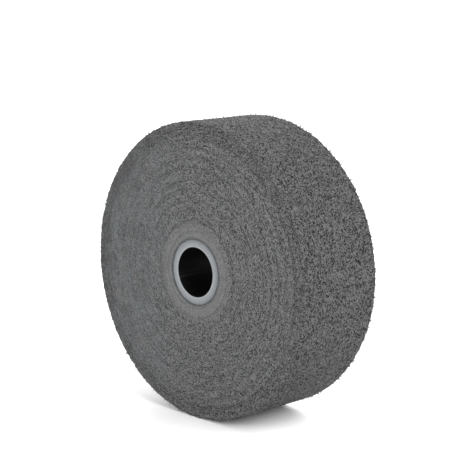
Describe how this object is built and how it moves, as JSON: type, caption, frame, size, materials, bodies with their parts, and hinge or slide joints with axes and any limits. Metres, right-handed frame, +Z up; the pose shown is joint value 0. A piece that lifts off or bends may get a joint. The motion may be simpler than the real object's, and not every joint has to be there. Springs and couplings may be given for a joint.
{
  "type": "wound polishing wheel",
  "caption": "Wide polishing wheel of springy non-woven web wound in a spiral on a rigid core tube, with a plain through bore for a grinder arbor.",
  "frame": {"origin": "centre of the bore, halfway between the two side faces", "axes": "+Y along the spin axis, from the front face to the back face; +Z up as the wheel stands on its rim; +X to the right seen from the front"},
  "size_m": [0.1524, 0.0508, 0.1524],
  "materials": {
    "web": "open, springy, gritty grey fibre web",
    "resin": "cured dark resin, matte",
    "glue": "cured dark glue film, matte",
    "core": "light blue-grey laminated tube, faced ends satin",
    "liner": "black, smooth, half gloss"
  },
  "bodies": {
    "root": {"wound_web": "web", "wrap_bond": "resin", "core_bond": "glue", "core_tube": "core", "bore_liner": "liner"}
  },
  "joints": []
}
